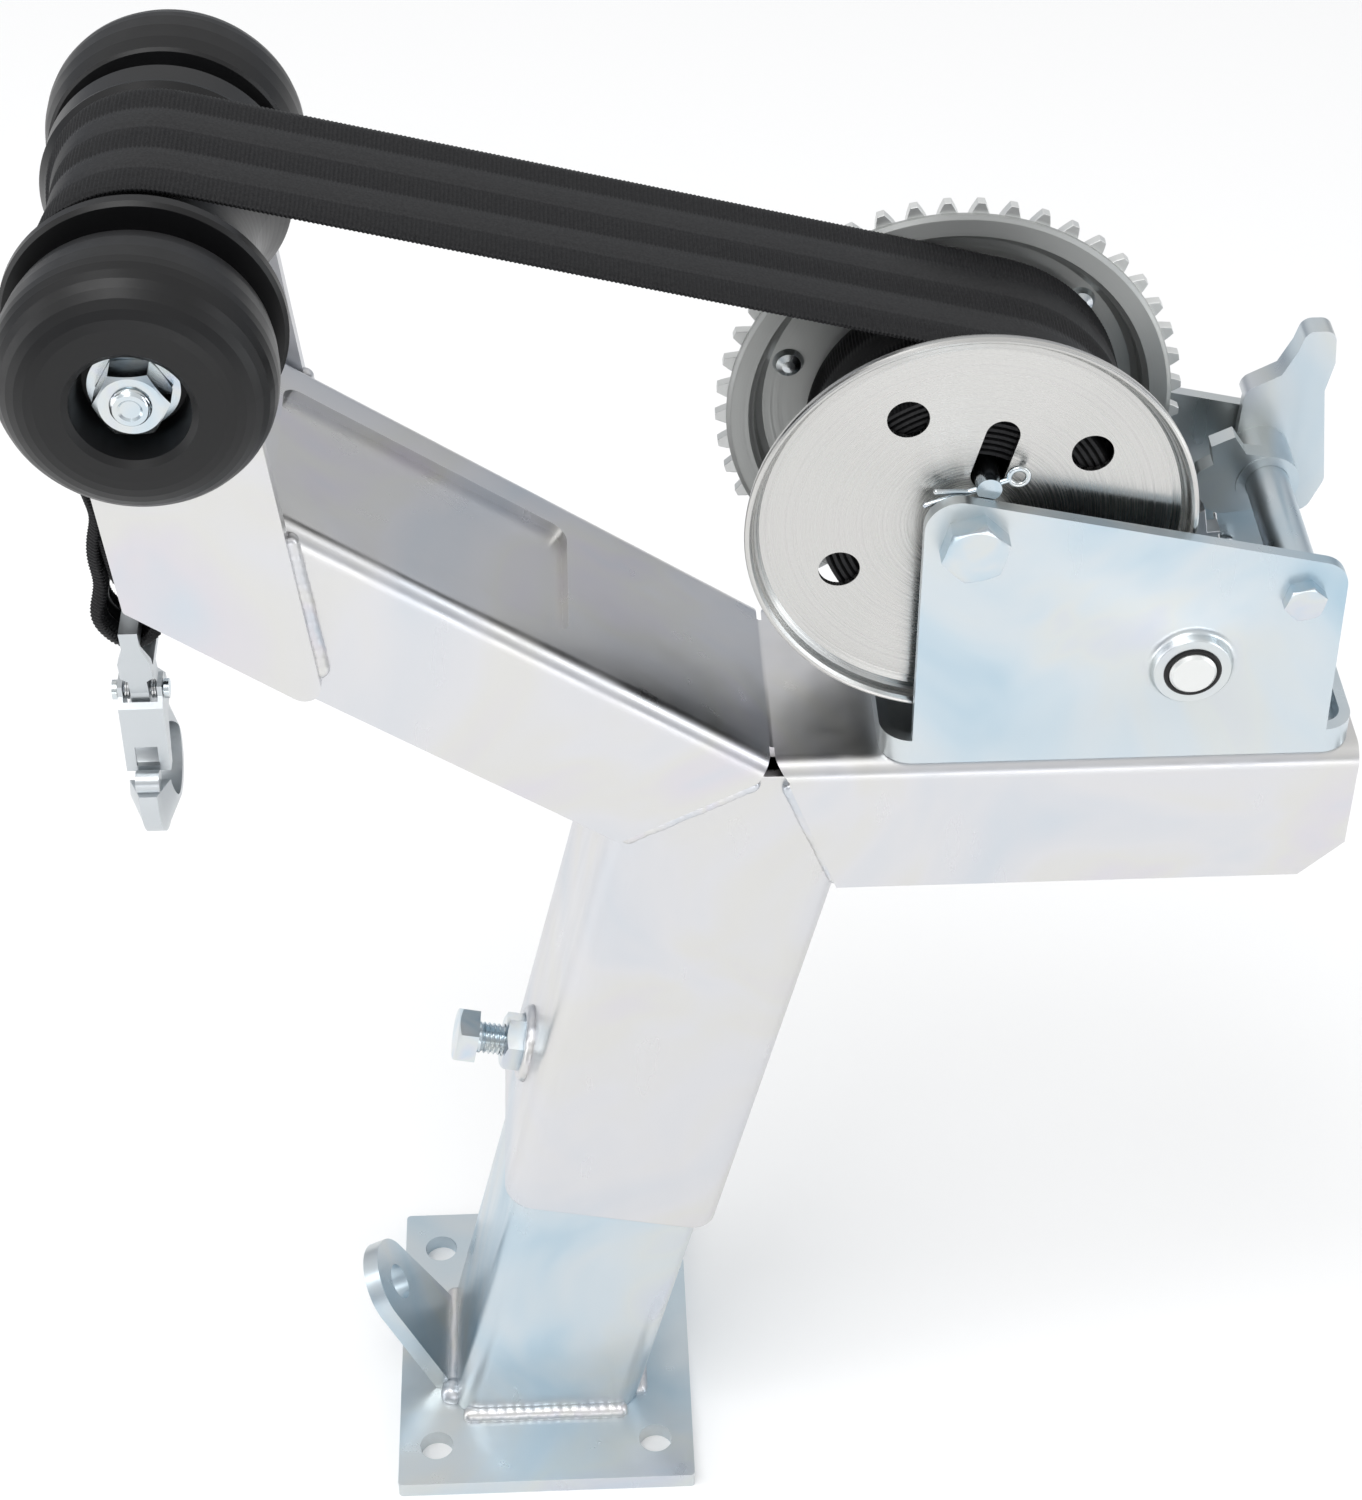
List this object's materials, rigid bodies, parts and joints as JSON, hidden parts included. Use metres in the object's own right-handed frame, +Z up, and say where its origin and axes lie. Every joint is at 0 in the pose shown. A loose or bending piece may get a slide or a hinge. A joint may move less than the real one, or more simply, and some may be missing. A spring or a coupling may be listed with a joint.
{
  "type": "boat trailer winch stand",
  "caption": "Leaning post with a height-adjustable head that carries a bow roller, a geared strap winch and a snap hook on black webbing.",
  "frame": {"origin": "centre of the base plate's underside, which is the centre of its four bolt holes", "axes": "+X from the bow roller to the winch, +Y to the gear side, +Z up out of the base plate"},
  "size_m": [0.3525, 0.1456, 0.4775],
  "materials": {
    "zinc_sheet": "blue-white zinc plate on sheet and tube",
    "weld": "zinc plated weld bead",
    "zinc_fastener": "bright zinc plated fastener",
    "drum_steel": "bright turned galvanised disc",
    "gear_steel": "zinc plated gear teeth",
    "wheel_rubber": "satin moulded rubber",
    "spool_rubber": "glossy moulded rubber",
    "nylon": "black nylon",
    "bush_steel": "sintered steel bearing",
    "spring_steel": "spring wire",
    "webbing": "black woven webbing",
    "hook_zinc": "pale zinc plated forging"
  },
  "bodies": {
    "stand": {"base_plate": "zinc_sheet", "lower_post": "zinc_sheet", "chain_lug": "zinc_sheet", "base_weld_beads": "weld"},
    "mast": {"sleeve_tube": "zinc_sheet", "head_channel": "zinc_sheet", "arm_doubler": "zinc_sheet", "roller_ear_front": "zinc_sheet", "roller_ear_rear": "zinc_sheet", "head_weld_beads": "weld", "weld_nut": "zinc_fastener", "roller_axle_bolt": "zinc_fastener", "roller_axle_nut": "zinc_fastener", "roller_axle_washers": "zinc_fastener", "roller_axle_tube": "zinc_fastener", "thrust_washers": "nylon", "winch_frame": "zinc_sheet", "winch_mount_bolts": "zinc_fastener", "winch_mount_nuts": "zinc_fastener", "drum_axle_spacer": "zinc_fastener", "drum_axle_bolt": "zinc_fastener", "drum_axle_nut": "zinc_fastener", "shaft_bush_front": "bush_steel", "shaft_bush_rear": "bush_steel", "shaft_seal": "spool_rubber", "pawl_bolt": "zinc_fastener", "pawl_nut": "zinc_fastener", "pawl_spring": "spring_steel", "strap_span": "webbing", "strap_loop": "webbing"},
    "clamp_bolt": {"set_bolt": "zinc_fastener"},
    "drum": {"drum_flange_front": "drum_steel", "drum_flange_rear": "drum_steel", "drum_hub": "drum_steel", "drive_gear": "gear_steel", "gear_rivets": "drum_steel", "strap_roll": "webbing", "anchor_pin": "zinc_fastener", "anchor_split_pin": "zinc_fastener"},
    "pinion": {"pinion_shaft": "gear_steel", "ratchet_wheel": "zinc_sheet"},
    "lever": {"pawl_lever": "zinc_sheet", "pawl_tube": "zinc_sheet"},
    "front_wheel": {"wheel_front": "wheel_rubber", "wheel_bush_front": "nylon"},
    "rear_wheel": {"wheel_rear": "wheel_rubber", "wheel_bush_rear": "nylon"},
    "spool": {"spool_roller": "spool_rubber", "spool_bushes": "nylon"},
    "hook": {"hook_body": "hook_zinc", "latch_pin": "zinc_fastener"},
    "gate": {"hook_latch": "hook_zinc"}
  },
  "joints": [
    {"name": "mast_slide", "type": "slide", "parent": "stand", "child": "mast", "axis": [0.225, 0, 0.9744], "range_m": [-0.06, 0.05]},
    {"name": "clamp_slide", "type": "slide", "parent": "mast", "child": "clamp_bolt", "axis": [-0.9744, 0, 0.225], "range_m": [0, 0.006]},
    {"name": "drum_spin", "type": "hinge", "parent": "mast", "child": "drum", "pos_m": [0.1217, 0, 0.3715], "axis": [0, 1, 0], "continuous": true},
    {"name": "pinion_spin", "type": "hinge", "parent": "mast", "child": "pinion", "pos_m": [0.18262, 0, 0.32905], "axis": [0, 1, 0], "continuous": true},
    {"name": "pawl_lever", "type": "hinge", "parent": "mast", "child": "lever", "pos_m": [0.2103, 0, 0.351], "axis": [0, 1, 0], "range_deg": [0, 20], "stiffness_Nm_per_rad": 0.1, "springref_deg": -17.19},
    {"name": "front_wheel_spin", "type": "hinge", "parent": "mast", "child": "front_wheel", "pos_m": [-0.084, -0.0585, 0.4425], "axis": [0, 1, 0], "continuous": true},
    {"name": "rear_wheel_spin", "type": "hinge", "parent": "mast", "child": "rear_wheel", "pos_m": [-0.084, 0.0585, 0.4425], "axis": [0, 1, 0], "continuous": true},
    {"name": "spool_spin", "type": "hinge", "parent": "mast", "child": "spool", "pos_m": [-0.084, 0, 0.4425], "axis": [0, 1, 0], "continuous": true},
    {"name": "hook_swing", "type": "hinge", "parent": "mast", "child": "hook", "pos_m": [-0.1035, -0.0011, 0.328], "axis": [0, 1, 0], "range_deg": [-50, 70]},
    {"name": "gate_swing", "type": "hinge", "parent": "hook", "child": "gate", "pos_m": [-0.1035, -0.0051, 0.3045], "axis": [1, 0, 0], "range_deg": [0, 25], "stiffness_Nm_per_rad": 0.02, "springref_deg": -28.65}
  ],
  "couplings": [
    {"joint": "pinion_spin", "follows": "drum_spin", "ratio": -5}
  ]
}
